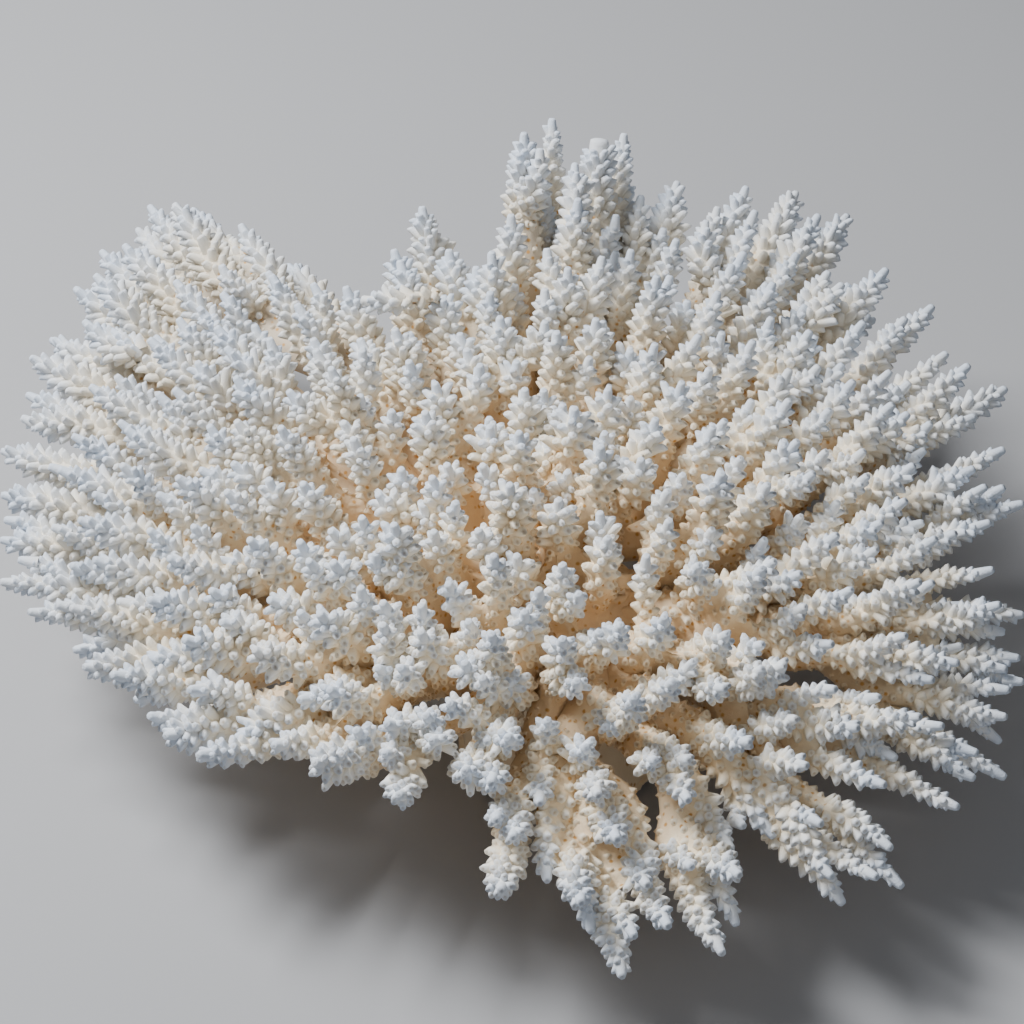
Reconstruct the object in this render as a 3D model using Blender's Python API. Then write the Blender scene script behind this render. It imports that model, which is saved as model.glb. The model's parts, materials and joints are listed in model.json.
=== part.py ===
"""A bleached table coral: a short stalk cut flat underneath, and limbs that fan out from it into a table.

Every branchlet is placed by its tip, at the place where the photograph shows it, on the domed top that all
the tips share. From the tip it runs back down to the table, and from there its limb runs back to the stalk.
A limb is parted from the one that carries it where it forks, so each forked piece is a solid of its own.
"""

import math

import bmesh
import bpy
import numpy as np
from mathutils import Vector

# Sizes of the colony, in metres.
PHOTO_WIDTH = 0.307  # real width that the photograph's side spans at the table
STALK_FOOT_RADIUS = 0.036
STALK_WAIST_RADIUS = 0.021
STALK_TOP_RADIUS = 0.029
STALK_HEIGHT = 0.052
CROWN_HEIGHT = 0.096  # tips in the middle, above the cut face
REACH = 0.152  # from the middle of the fan to the rim
FRONT_DROP = 0.056  # how much lower the tips are at the front rim
SIDE_DROP = 0.020
CROWN_ROUNDNESS = 2.5  # power by which the crown falls away towards its rim
MIDDLE_BRANCHLET = 0.040
RIM_BRANCHLET = 0.062
FRONT_BRANCHLET = 0.040
STEM_RADIUS = 0.0038  # of a branchlet where it leaves its limb, below the long cups
CUPS_RADIUS = 0.0052  # of its upper part, over the cups that stand out there
TIP_RADIUS = 0.0018
THICKEST_LIMB = 0.0080
MAIN_SPACING = 0.0165  # between the tips of main branchlets; a nearer tip is a twig of its neighbour
FILL_SPACING = 0.019  # between the tips that fill what the photograph hides
RIM_MARGIN = 0.010  # how far inside the rim they stay
GAP = 0.0004  # between neighbouring solids, square to their skin
MOST_GROWTH = 0.0012  # how far a corner of a cutter may move to keep that gap

# The photograph's sight lines: where it looks from, and where its middle falls on the table.
PHOTO_SIDE = 1024
VIEW_ELEVATION = math.radians(42)
VIEW_DISTANCE = 0.92
AIM = Vector((-0.017, 0.040, 0.055))
SIGHT_ROUNDS = 40  # steps that bring a sight line down onto the crown

# Where the photograph shows the ground close behind the rim, in pixels right and down: no tip is filled in there.
BARE_PLACES = (
    (284, 216), (338, 228), (838, 252), (893, 305), (1012, 425), (455, 870), (788, 800), (790, 890), (262, 700),
)
BARE_RADIUS = 0.010  # round the sight line to such a place

# How the branchlets lean: upright in the middle of the fan, outwards at its rim, level at the front.
FAN_CENTRE = Vector((-0.010, 0.022))
BACK_LEAN = math.radians(46)  # from upright, at the rim
SIDE_LEAN = math.radians(60)
FRONT_LEAN = math.radians(90)
FRONT_WIDTH = 0.62  # how soon the front's ways give way to the back's
LEAN_POWER = 1.2  # how late, on the way out, the lean comes on
FRONT_LEAN_POWER = 2.0
MOST_OUT = 1.15
START_LEAN = math.radians(26)  # a branchlet leaves its limb this much flatter than it ends
LEVEL = math.radians(88)
UPPER_SHARE = 0.62  # of a branchlet's length is beyond its bend

# How tips that the photograph shows one behind the other are kept apart.
SHIFTS = (0, -3, 3, -6, 6, -9, 9, -12)  # millimetres that a tip may move up or down
CLEAR = 0.0085
UPPER_PART = (0.35, 1)
UPPER_SAMPLES = 7
SPIRAL_POINTS = 420
RIM_ALIGNED = math.cos(math.radians(6.3))

# How limbs join. Lengths in metres.
HEART = Vector((0, 0, STALK_HEIGHT - 0.010))  # inside the stalk's top, where the limbs meet
SHORTEST_LIMB = 0.005
DETOUR_COST = 2.5
TURN_COST = 0.02
TIPS_PER_PIECE = 5  # a limb that carries more is parted at its fork
FEWEST_TIPS = 3  # what carries fewer, straight from the stalk, stays part of the stalk
MIDDLE_SHARE = 0.32  # of the reach is called the middle
LIMB_SAMPLES = 6
BRANCHLET_SAMPLES = 10

TUBE_SIDES = 8
BRANCHLET_RINGS = 9
WIDEST = 0.55  # where between its root and its tip a branchlet is widest
ROOT_SWELLING = 0.25  # how far up a branchlet its limb's thickness is felt
LIMB_SWELLING = (1.15, 1.05)  # a limb against its thickness at its fork, where it starts and halfway
SHORT_LIMB = 1.6  # of its own radius: a shorter limb is no more than the branchlet's root
ROUGHNESS = 0.08  # how far a tube's radius strays from the even one
MELT_SIZE = 0.0013
TRIANGLES_PER_BRANCHLET = 28
GROWTH_ROUNDS = 12
STALK_SIDES = 14
STALK_CAP = 0.002
SHARP_EDGE = math.radians(60)
SEED = 7

# The stalk's turned outline: height and radius, from the cut face up.
STALK_OUTLINE = (
    (0, STALK_FOOT_RADIUS), (0.006, STALK_FOOT_RADIUS * 0.96), (0.018, STALK_WAIST_RADIUS * 1.12),
    (0.030, STALK_WAIST_RADIUS), (0.042, STALK_WAIST_RADIUS * 1.12), (STALK_HEIGHT, STALK_TOP_RADIUS),
    (STALK_HEIGHT + 0.007, STALK_TOP_RADIUS * 0.72),
)

# Swellings round the stalk: share of the radius, how many round it, and turn with height in radians a metre.
STALK_SWELLINGS = ((0.06, 2, 40), (0.04, 3, -25))

# Colours of the dry skeleton, from the cut stalk to the tips.
STALK_COLOUR = (0.66, 0.58, 0.47)
INNER_COLOUR = (0.78, 0.73, 0.64)
RIM_COLOUR = (0.84, 0.84, 0.85)

# Tips as the photograph shows them: pixel right, pixel down, and millimetres above the crown if not on it.
TIPS = {
    "left": [
        (3, 451), (28, 395), (32, 358), (52, 340), (23, 418), (3, 495), (2, 540), (2, 582), (30, 612),
        (58, 605), (72, 608), (85, 667), (113, 675), (75, 650), (60, 470), (80, 520), (95, 560), (150, 600),
    ],
    "back_left": [
        (76, 289), (102, 252), (96, 276), (125, 246), (150, 207), (175, 205), (193, 210), (241, 226),
        (288, 266, -22), (346, 288), (138, 230), (176, 282), (217, 328), (150, 340), (110, 330),
    ],
    "front_left": [
        (136, 700), (166, 736), (199, 755), (213, 750), (237, 738), (274, 746), (315, 763), (332, 760),
        (185, 640), (255, 650), (330, 690), (385, 754), (399, 795), (300, 700), (190, 690),
    ],
    "back": [
        (422, 208, 6), (394, 251), (449, 251), (492, 253), (524, 134, 22), (552, 120, 24), (600, 139, 18),
        (624, 135, 18), (511, 216, 8), (578, 200, 16), (641, 197), (677, 183), (631, 251), (568, 269, 4),
        (596, 320), (557, 333), (608, 390), (500, 318), (657, 277),
    ],
    "back_right": [
        (746, 188), (755, 212), (796, 193), (818, 216), (847, 216), (828, 273), (886, 270), (873, 320, -20),
        (863, 323), (932, 307), (905, 319), (946, 354), (968, 366), (1005, 389), (718, 293), (732, 266),
        (762, 228), (773, 284), (753, 342), (789, 401), (713, 428), (797, 442), (853, 382), (892, 405),
        (655, 345),
    ],
    "right": [
        (913, 466), (1003, 450), (973, 469), (1003, 488), (1022, 504), (905, 501), (989, 523), (922, 523),
        (935, 539), (919, 582), (992, 570), (999, 605), (1022, 615), (1018, 658), (905, 636), (932, 653),
        (957, 663), (1005, 669), (1022, 682), (932, 680), (1005, 717), (999, 741, -16), (768, 485),
        (813, 474), (722, 474), (876, 550), (881, 523), (851, 590),
    ],
    "front_right": [
        (976, 753), (1004, 777), (957, 807), (884, 785), (895, 758), (857, 728), (919, 717), (773, 836, -22),
        (743, 826, -22), (805, 607), (800, 574), (762, 569), (719, 582), (784, 666), (762, 669), (665, 617),
        (727, 634), (749, 742), (673, 682), (668, 701), (842, 903), (845, 896, -14), (876, 877), (901, 886),
        (912, 876), (834, 857, -20), (688, 760),
    ],
    "front": [
        (513, 837), (496, 820), (540, 803, -18), (501, 890), (547, 880), (571, 875, -18), (581, 902),
        (591, 931), (622, 976), (634, 936), (656, 912, -16), (617, 839), (668, 926), (722, 953),
        (736, 924, -16), (739, 875), (731, 849), (647, 885), (491, 783), (465, 771), (598, 795), (688, 800),
        (487, 742), (655, 760),
    ],
    "centre": [
        (175, 390), (236, 378), (237, 422), (262, 380), (281, 428), (178, 478), (127, 430), (316, 351),
        (331, 369), (303, 484), (322, 487), (362, 518), (394, 525), (376, 554), (400, 556), (434, 532),
        (423, 505), (432, 478), (425, 413), (456, 503), (490, 427), (519, 433), (550, 440), (575, 409),
        (559, 500), (510, 485), (608, 538), (563, 565), (517, 556), (494, 556), (539, 590), (579, 594),
        (525, 612), (563, 639), (492, 634), (599, 632), (621, 625), (421, 632), (465, 663), (508, 681),
        (577, 681), (378, 668), (320, 614), (309, 561), (383, 625), (635, 697), (619, 724), (432, 741),
        (601, 447), (624, 460), (641, 460), (435, 384), (525, 390), (201, 470), (227, 492), (250, 540),
        (220, 560), (270, 600), (395, 330), (360, 340),
    ],
}


def smooth(x):
    """0 below 0, 1 above 1, and an even curve between."""
    x = min(max(x, 0.0), 1.0)
    return x * x * (3 - 2 * x)


def fan_place(x, y):
    """How far out a place is, 1 at the rim, and the level direction away from the middle of the fan."""
    away = Vector((x, y)) - FAN_CENTRE
    return away.length / REACH, away.normalized() if away.length > 1e-6 else Vector((0, 1))


def frontness(away):
    """1 for what leans towards the front, 0 for the back."""
    return smooth(0.5 - FRONT_WIDTH * away.y)


def crown_height(x, y):
    """The height of the dome that the tips share."""
    out, away = fan_place(x, y)
    front = frontness(away)
    drop = FRONT_DROP * front + SIDE_DROP * abs(away.x) * (1 - front)
    return CROWN_HEIGHT - drop * out**CROWN_ROUNDNESS


def lean_direction(x, y):
    """Which way a branchlet points at its tip: upright in the middle, outwards at the rim."""
    out, away = fan_place(x, y)
    front = frontness(away)
    side = abs(away.x) * (1 - front)
    rim_lean = BACK_LEAN + (SIDE_LEAN - BACK_LEAN) * side + (FRONT_LEAN - BACK_LEAN) * front
    power = LEAN_POWER + (FRONT_LEAN_POWER - LEAN_POWER) * front
    return rim_lean * min(out, MOST_OUT) ** power, away


def direction(lean, away):
    """The direction that leans so far from upright, the level way away."""
    return Vector((away.x * math.sin(lean), away.y * math.sin(lean), math.cos(lean)))


def sight_line(px, py):
    """The eye and the direction of the sight line through a place in the photograph."""
    ahead = Vector((0, math.cos(VIEW_ELEVATION), -math.sin(VIEW_ELEVATION)))
    up = Vector((0, math.sin(VIEW_ELEVATION), math.cos(VIEW_ELEVATION)))
    per_pixel = PHOTO_WIDTH / PHOTO_SIDE / VIEW_DISTANCE
    half = PHOTO_SIDE / 2
    line = ahead + Vector((1, 0, 0)) * (px - half) * per_pixel + up * (half - py) * per_pixel
    return AIM - ahead * VIEW_DISTANCE, line


def seen_on_crown(px, py, above=0.0):
    """The place on the crown, or so far above it, that the photograph shows at this pixel."""
    eye, line = sight_line(px, py)
    height = CROWN_HEIGHT
    for _ in range(SIGHT_ROUNDS):
        place = eye + line * ((height - eye.z) / line.z)
        height = 0.5 * (height + crown_height(place.x, place.y) + above)
    return place


class Branchlet:
    """One branchlet: its tip, the point on the table that it rises from, and the bend between them."""

    def __init__(self, tip):
        lean, away = lean_direction(tip.x, tip.y)
        out, front = fan_place(tip.x, tip.y)[0], frontness(away)
        rim = RIM_BRANCHLET + (FRONT_BRANCHLET - RIM_BRANCHLET) * front
        length = MIDDLE_BRANCHLET + (rim - MIDDLE_BRANCHLET) * min(out, 1)
        start_lean = min(lean + START_LEAN, max(lean, LEVEL))
        on_crown = Vector((tip.x, tip.y, crown_height(tip.x, tip.y)))
        self.bend = on_crown - direction(lean, away) * length * UPPER_SHARE
        self.root = self.bend - direction(start_lean, away) * length * (1 - UPPER_SHARE)
        self.tip = tip
        self.parent = None
        self.children = []

    def at(self, t):
        """The centre line between root and tip."""
        return self.root * (1 - t) ** 2 + self.bend * 2 * t * (1 - t) + self.tip * t * t


def clearance(branchlet, others):
    """The least distance between this branchlet's upper part and the others'."""
    if not others:
        return 1.0
    steps = np.linspace(*UPPER_PART, UPPER_SAMPLES)
    mine = np.array([branchlet.at(t) for t in steps])
    theirs = np.array([other.at(t) for other in others for t in steps])
    return np.linalg.norm(mine[:, None] - theirs[None], axis=2).min()


def placed_tips():
    """Branchlets at the main tips of the photograph, raised or lowered a little where two would cross."""
    made = []
    for group in TIPS.values():
        for px, py, *above in group:
            base = above[0] if above else 0
            tries = [Branchlet(seen_on_crown(px, py, (base + step) / 1000)) for step in SHIFTS]
            tries = [b for b in tries if all((b.tip - other.tip).length > MAIN_SPACING for other in made)]
            if tries:
                made.append(max(tries, key=lambda b: min(clearance(b, made), CLEAR)))
    return made


def on_bare_place(tip):
    """Whether the photograph shows the ground where this tip would stand."""
    for px, py in BARE_PLACES:
        eye, line = sight_line(px, py)
        if (tip - eye).cross(line.normalized()).length < BARE_RADIUS:
            return True
    return False


def filled_tips(made):
    """Branchlets that fill the crown where the photograph hides it, on an even spiral inside the rim."""
    golden = math.pi * (3 - math.sqrt(5))
    rim = [b.tip.xy - FAN_CENTRE for b in made]
    for i in range(SPIRAL_POINTS):
        radius = REACH * math.sqrt((i + 0.5) / SPIRAL_POINTS)
        spoke = Vector((math.cos(i * golden), math.sin(i * golden)))
        along = [r.length for r in rim if r.normalized().dot(spoke) > RIM_ALIGNED]
        x, y = FAN_CENTRE + spoke * radius
        tip = Vector((x, y, crown_height(x, y)))
        near = min((tip - b.tip).length for b in made)
        inside = radius < max(along, default=0) - RIM_MARGIN
        if near > FILL_SPACING and inside and not on_bare_place(tip):
            made.append(Branchlet(tip))
    return made


def grow():
    """All branchlets, each joined to the one whose root carries it back towards the stalk."""
    made = filled_tips(placed_tips())
    made.sort(key=lambda b: b.root.xy.length)
    for i, branchlet in enumerate(made):
        reach = branchlet.root.xy.length
        inward = -branchlet.root.xy.normalized()
        best_cost, best = math.inf, None
        for other in made[:i]:
            if reach < STALK_TOP_RADIUS or other.root.xy.length > reach - SHORTEST_LIMB:
                continue
            step = other.root - branchlet.root
            run = step.xy.normalized().dot(inward)
            turn = 1 - other.root.xy.normalized().dot(-inward)
            cost = step.length * (1 + DETOUR_COST * (1 - run)) + TURN_COST * turn
            if cost < best_cost:
                best_cost, best = cost, other
        branchlet.parent = best
        branchlet.start = best.root if best else HEART
        if best:
            best.children.append(branchlet)
    for number, branchlet in enumerate(made):
        branchlet.number = number
    return made


def limb_radii(branchlets):
    """Gives each branchlet the radius of the limb that leads to it: thicker the more tips it carries."""
    for branchlet in reversed(branchlets):
        carried = STEM_RADIUS**3 + sum(child.radius**3 for child in branchlet.children)
        branchlet.radius = min(carried ** (1 / 3), THICKEST_LIMB)


def thickness(branchlet, t):
    """The radius at a place from root to tip: the limb's, a stem, the cups' spread, then the blunt tip."""
    spread = STEM_RADIUS + (CUPS_RADIUS - STEM_RADIUS) * smooth(t / WIDEST)
    swollen = max(branchlet.radius - STEM_RADIUS, 0) * smooth(1 - t / ROOT_SWELLING)
    return spread + swollen + (TIP_RADIUS - CUPS_RADIUS) * smooth((t - WIDEST) / (1 - WIDEST))


def tube(shape, branchlet):
    """Adds a branchlet and the stretch of limb below it to a shape, as one closed tube with a blunt tip."""
    chance = np.random.default_rng(SEED + branchlet.number)
    bearer = branchlet.parent.radius if branchlet.parent else THICKEST_LIMB
    places = [branchlet.start.lerp(branchlet.root, t) for t in (0, 0.5)]
    radii = [min(bearer, branchlet.radius * LIMB_SWELLING[0]), branchlet.radius * LIMB_SWELLING[1]]
    if (branchlet.start - branchlet.root).length < SHORT_LIMB * branchlet.radius:
        places, radii = [], []
    for t in np.linspace(0, 1, BRANCHLET_RINGS):
        places.append(branchlet.at(t))
        radii.append(thickness(branchlet, t))
    rings = []
    side = None
    for i, (place, radius) in enumerate(zip(places, radii)):
        ahead = (places[min(i + 1, len(places) - 1)] - places[max(i - 1, 0)]).normalized()
        side = ahead.orthogonal() if side is None else side - ahead * side.dot(ahead)
        side.normalize()
        across = ahead.cross(side)
        ring = []
        for k in range(TUBE_SIDES):
            angle = 2 * math.pi * k / TUBE_SIDES
            out = radius * (1 + chance.uniform(-ROUGHNESS, ROUGHNESS))
            ring.append(shape.verts.new(place + (side * math.cos(angle) + across * math.sin(angle)) * out))
        rings.append(ring)
    skin(shape, rings, branchlet.tip + ahead * TIP_RADIUS / 2)


def skin(shape, rings, end):
    """Closes a shape from a flat face in its first ring, through the others, to a point."""
    shape.faces.new(rings[0][::-1])
    for low, high in zip(rings, rings[1:]):
        for k in range(len(low)):
            shape.faces.new((low[k - 1], low[k], high[k], high[k - 1]))
    point = shape.verts.new(end)
    last = rings[-1]
    for k in range(len(last)):
        shape.faces.new((last[k - 1], last[k], point))


def stalk():
    """The stalk: turned to its outline, with the slow swellings of a grown thing, and flat where it is cut."""
    shape = bmesh.new()
    rings = []
    for height, radius in STALK_OUTLINE:
        ring = []
        for k in range(STALK_SIDES):
            angle = 2 * math.pi * k / STALK_SIDES
            out = radius
            for size, waves, turn in STALK_SWELLINGS:
                out += radius * size * math.sin(waves * angle + turn * height)
            ring.append(shape.verts.new((out * math.cos(angle), out * math.sin(angle), height)))
        rings.append(ring)
    skin(shape, rings, (0, 0, STALK_OUTLINE[-1][0] + STALK_CAP))
    return placed("stalk", shape)


def placed(name, shape):
    """The object made of this shape, in triangles."""
    bmesh.ops.triangulate(shape, faces=shape.faces)
    mesh = bpy.data.meshes.new(name)
    shape.to_mesh(mesh)
    shape.free()
    made = bpy.data.objects.new(name, mesh)
    bpy.context.scene.collection.objects.link(made)
    return made


def apply_modifiers(target):
    """Turns what the object's modifiers make into its mesh."""
    graph = bpy.context.evaluated_depsgraph_get()
    mesh = bpy.data.meshes.new_from_object(target.evaluated_get(graph))
    target.modifiers.clear()
    target.data = mesh


def form(name, piece):
    """The branchlets and limbs of a piece melted into one skin, and that thinned to few triangles."""
    shape = bmesh.new()
    for branchlet in piece:
        tube(shape, branchlet)
    made = placed(name, shape)
    melt = made.modifiers.new("melt", "REMESH")
    melt.mode = "VOXEL"
    melt.voxel_size = MELT_SIZE
    apply_modifiers(made)
    thin = made.modifiers.new("thin", "DECIMATE")
    thin.ratio = TRIANGLES_PER_BRANCHLET * len(piece) / (2 * len(made.data.polygons))
    thin.use_collapse_triangulate = True
    apply_modifiers(made)
    return made


def grown(source):
    """A form with room round it: itself, joined to a copy whose faces have moved out by the gap."""
    shape = bmesh.new()
    shape.from_mesh(source.data)
    shape.normal_update()
    moves = []
    for vert in shape.verts:
        move = vert.normal * GAP
        for _ in range(GROWTH_ROUNDS):
            for face in vert.link_faces:
                move += face.normal * max(GAP - move.dot(face.normal), 0)
        moves.append(move * min(1, MOST_GROWTH / max(move.length, GAP)))
    for vert, move in zip(shape.verts, moves):
        vert.co += move
    cutter = placed("cutter", shape)
    combine(cutter, [source], "UNION")
    return cutter


def combine(target, others, operation):
    """Joins the other objects to the target, or cuts it by them, one after the other."""
    for other in others:
        modifier = target.modifiers.new(operation.lower(), "BOOLEAN")
        modifier.operation = operation
        modifier.solver = "MANIFOLD"  # the forms are closed, and EXACT drops some of these cuts
        modifier.object = other
    apply_modifiers(target)


def islands(shape):
    """The faces of each separate body of a shape, the largest body last."""
    left = set(shape.faces)
    found = []
    while left:
        to_visit = [left.pop()]
        body = list(to_visit)
        while to_visit:
            face = to_visit.pop()
            for edge in face.edges:
                for other in edge.link_faces if len(edge.link_faces) == 2 else ():
                    if other in left:
                        left.remove(other)
                        to_visit.append(other)
                        body.append(other)
        found.append(body)
    return sorted(found, key=lambda body: sum(face.calc_area() for face in body))


def keep_largest(target):
    """Drops the offcuts of a trimmed piece."""
    shape = bmesh.new()
    shape.from_mesh(target.data)
    bmesh.ops.delete(shape, geom=[face for body in islands(shape)[:-1] for face in body], context="FACES")
    bmesh.ops.triangulate(shape, faces=shape.faces)
    shape.to_mesh(target.data)
    shape.free()


def pieces(branchlets):
    """The branchlets sorted into pieces, each a limb with what it carries up to the next main fork."""
    parted = []

    def gather(branchlet):
        own = [branchlet]
        for child in sorted(branchlet.children, key=lambda c: c.radius):
            carried = gather(child)
            if len(own) + len(carried) <= TIPS_PER_PIECE:
                own += carried
            elif carried:
                parted.append(carried)
        return own

    for branchlet in branchlets:
        if branchlet.parent is None:
            parted.append(gather(branchlet))
    return sorted(parted, key=lambda piece: (piece[0].start - HEART).length)


def spine(branchlet):
    """Places along a branchlet and the stretch of limb below it."""
    limb = [branchlet.start.lerp(branchlet.root, t) for t in np.linspace(0, 1, LIMB_SAMPLES)]
    return np.array(limb + [branchlet.at(t) for t in np.linspace(0, 1, BRANCHLET_SAMPLES)])


def near(one, other):
    """Whether two branchlets or their limbs may touch."""
    between = np.linalg.norm(spine(one)[:, None] - spine(other)[None], axis=2).min()
    return between < one.radius + other.radius + CLEAR


def side_name(piece):
    """Where on the table a piece lies, in words."""
    middle = sum((b.tip.xy for b in piece), Vector((0, 0))) / len(piece) - FAN_CENTRE
    if middle.length < MIDDLE_SHARE * REACH:
        return "middle"
    words = ("right", "back_right", "back", "back_left", "left", "front_left", "front", "front_right")
    return words[round(math.atan2(middle.y, middle.x) / (math.pi / 4)) % 8]


def dress(target, colour):
    """Shades a piece smooth but for its sharp edges, and gives it a material of its own: dry skeleton."""
    target.data.shade_smooth()
    target.data.set_sharp_from_angle(angle=SHARP_EDGE)
    material = bpy.data.materials.new(target.name)
    material.use_nodes = True
    surface = material.node_tree.nodes["Principled BSDF"]
    surface.inputs["Base Color"].default_value = (*colour, 1)
    surface.inputs["Roughness"].default_value = 0.85
    surface.inputs["Metallic"].default_value = 0
    target.data.materials.clear()
    target.data.materials.append(material)


def build_stalk(on_it):
    """The stalk with the branchlets that rise straight from it."""
    made = stalk()
    joined = form("joined", on_it)
    combine(made, [joined], "UNION")
    bpy.data.objects.remove(joined)
    keep_largest(made)
    dress(made, STALK_COLOUR)
    return made


def meets_stalk(piece):
    """Whether a piece comes as near to the stalk's axis as its foot reaches."""
    return min(np.linalg.norm(spine(b)[:, :2], axis=1).min() for b in piece) < STALK_FOOT_RADIUS


def build_limb(name, piece, built):
    """A limb piece, cut clear of what is built. Returns the form that later pieces keep clear of."""
    made = form(name, piece)
    room = grown(made)
    neighbours = [
        cutter for others, cutter in built
        if (others is built[0][0] and meets_stalk(piece)) or any(near(o, b) for o in others for b in piece)
    ]
    combine(made, neighbours, "DIFFERENCE")
    keep_largest(made)
    out = sum(fan_place(b.tip.x, b.tip.y)[0] for b in piece) / len(piece)
    dress(made, Vector(INNER_COLOUR).lerp(Vector(RIM_COLOUR), min(out, 1)))
    return room


def main():
    for old in list(bpy.data.objects):
        bpy.data.objects.remove(old)
    branchlets = grow()
    limb_radii(branchlets)
    limbs = pieces(branchlets)
    small = [piece for piece in limbs if piece[0].parent is None and len(piece) < FEWEST_TIPS]
    on_stalk = [branchlet for piece in small for branchlet in piece]
    built = [(on_stalk, grown(build_stalk(on_stalk)))]
    counts = {}
    for piece in limbs:
        if piece in small:
            continue
        side = side_name(piece)
        counts[side] = counts.get(side, 0) + 1
        built.append((piece, build_limb(f"limb_{side}_{counts[side]}", piece, built)))
    for _, cutter in built:
        bpy.data.objects.remove(cutter)


if __name__ == "__main__":
    main()
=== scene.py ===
"""The looks of a bleached table coral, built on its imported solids.

The first half repeats the skeleton that the solids grow on, so that each limb here lies where its solid
lies. The second half adds the twigs, gives every branch a round core, sets the cups of the polyps on it, and
lights it.
"""

import json
import math

import bpy
import numpy as np
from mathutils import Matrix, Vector
from mathutils.kdtree import KDTree

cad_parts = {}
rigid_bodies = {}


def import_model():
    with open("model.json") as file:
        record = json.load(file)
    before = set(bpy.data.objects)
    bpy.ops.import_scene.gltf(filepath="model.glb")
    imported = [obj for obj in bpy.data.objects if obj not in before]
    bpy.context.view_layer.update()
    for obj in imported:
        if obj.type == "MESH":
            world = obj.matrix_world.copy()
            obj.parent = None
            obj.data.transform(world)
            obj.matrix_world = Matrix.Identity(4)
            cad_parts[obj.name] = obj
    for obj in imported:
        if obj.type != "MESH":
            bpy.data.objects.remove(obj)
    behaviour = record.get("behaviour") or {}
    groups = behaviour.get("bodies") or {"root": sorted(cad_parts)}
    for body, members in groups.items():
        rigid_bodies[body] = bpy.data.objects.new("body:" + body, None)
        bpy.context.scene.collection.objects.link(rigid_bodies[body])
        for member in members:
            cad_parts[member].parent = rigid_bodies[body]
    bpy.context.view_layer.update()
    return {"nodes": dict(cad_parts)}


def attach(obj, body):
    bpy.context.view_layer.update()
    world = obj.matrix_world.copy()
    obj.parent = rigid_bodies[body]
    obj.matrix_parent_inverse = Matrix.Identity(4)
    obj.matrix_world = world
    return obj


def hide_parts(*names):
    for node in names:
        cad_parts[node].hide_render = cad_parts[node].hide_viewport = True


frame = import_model()

# Sizes of the colony, in metres.
PHOTO_WIDTH = 0.307  # real width that the photograph's side spans at the table
STALK_FOOT_RADIUS = 0.036
STALK_WAIST_RADIUS = 0.021
STALK_TOP_RADIUS = 0.029
STALK_HEIGHT = 0.052
CROWN_HEIGHT = 0.096  # tips in the middle, above the cut face
REACH = 0.152  # from the middle of the fan to the rim
FRONT_DROP = 0.056  # how much lower the tips are at the front rim
SIDE_DROP = 0.020
CROWN_ROUNDNESS = 2.5  # power by which the crown falls away towards its rim
MIDDLE_BRANCHLET = 0.040
RIM_BRANCHLET = 0.062
FRONT_BRANCHLET = 0.040
STEM_RADIUS = 0.0038  # of a branchlet where it leaves its limb, below the long cups
THICKEST_LIMB = 0.0080
MAIN_SPACING = 0.0165  # between the tips of main branchlets; a nearer tip is a twig of its neighbour
FILL_SPACING = 0.019  # between the tips that fill what the photograph hides
RIM_MARGIN = 0.010  # how far inside the rim they stay

# The photograph's sight lines: where it looks from, and where its middle falls on the table.
PHOTO_SIDE = 1024
VIEW_ELEVATION = math.radians(42)
VIEW_DISTANCE = 0.92
AIM = Vector((-0.017, 0.040, 0.055))
SIGHT_ROUNDS = 40  # steps that bring a sight line down onto the crown

# Where the photograph shows the ground close behind the rim, in pixels right and down. No tip is filled in
# there.
BARE_PLACES = (
    (284, 216), (338, 228), (838, 252), (893, 305), (1012, 425), (455, 870), (788, 800), (790, 890),
    (262, 700),
)
BARE_RADIUS = 0.010  # round the sight line to such a place

# How the branchlets lean: upright in the middle of the fan, outwards at its rim, level at the front.
FAN_CENTRE = Vector((-0.010, 0.022))
BACK_LEAN = math.radians(46)  # from upright, at the rim
SIDE_LEAN = math.radians(60)
FRONT_LEAN = math.radians(90)
FRONT_WIDTH = 0.62  # how soon the front's ways give way to the back's
LEAN_POWER = 1.2  # how late, on the way out, the lean comes on
FRONT_LEAN_POWER = 2.0
MOST_OUT = 1.15  # beyond this share of the reach, nothing leans further
START_LEAN = math.radians(26)  # a branchlet leaves its limb this much flatter than it ends
LEVEL = math.radians(88)
UPPER_SHARE = 0.62  # of a branchlet's length is beyond its bend

# How tips that the photograph shows one behind the other are kept apart.
SHIFTS = (0, -3, 3, -6, 6, -9, 9, -12)  # millimetres that a tip may move up or down
CLEAR = 0.0085  # no more distance than this is sought
UPPER_PART = (0.35, 1)
UPPER_SAMPLES = 7

# The even spiral of places over the crown that fills what the photograph hides.
GOLDEN_ANGLE = math.pi * (3 - math.sqrt(5))
SPIRAL_POINTS = 420
RIM_ALIGNED = math.cos(math.radians(6.3))  # tips this near to a spoke say where the rim is

# How limbs join. Lengths in metres.
HEART = Vector((0, 0, STALK_HEIGHT - 0.010))  # inside the stalk's top, where the limbs meet
SHORTEST_LIMB = 0.005
DETOUR_COST = 2.5  # of a limb that doesn't run straight inwards
TURN_COST = 0.02  # of one that goes round the stalk
TIPS_PER_PIECE = 5  # a limb that carries more is parted at its fork
FEWEST_TIPS = 3  # what carries fewer, straight from the stalk, stays part of the stalk
MIDDLE_SHARE = 0.32  # of the reach is called the middle

# The stalk's turned outline: height and radius, from the cut face up, and how far its top is domed.
STALK_OUTLINE = (
    (0, STALK_FOOT_RADIUS), (0.006, STALK_FOOT_RADIUS * 0.96), (0.018, STALK_WAIST_RADIUS * 1.12),
    (0.030, STALK_WAIST_RADIUS), (0.042, STALK_WAIST_RADIUS * 1.12), (STALK_HEIGHT, STALK_TOP_RADIUS),
    (STALK_HEIGHT + 0.007, STALK_TOP_RADIUS * 0.72),
)
STALK_CAP = 0.002
STALK_SIDES = 48
STALK_RINGS = 40

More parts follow.
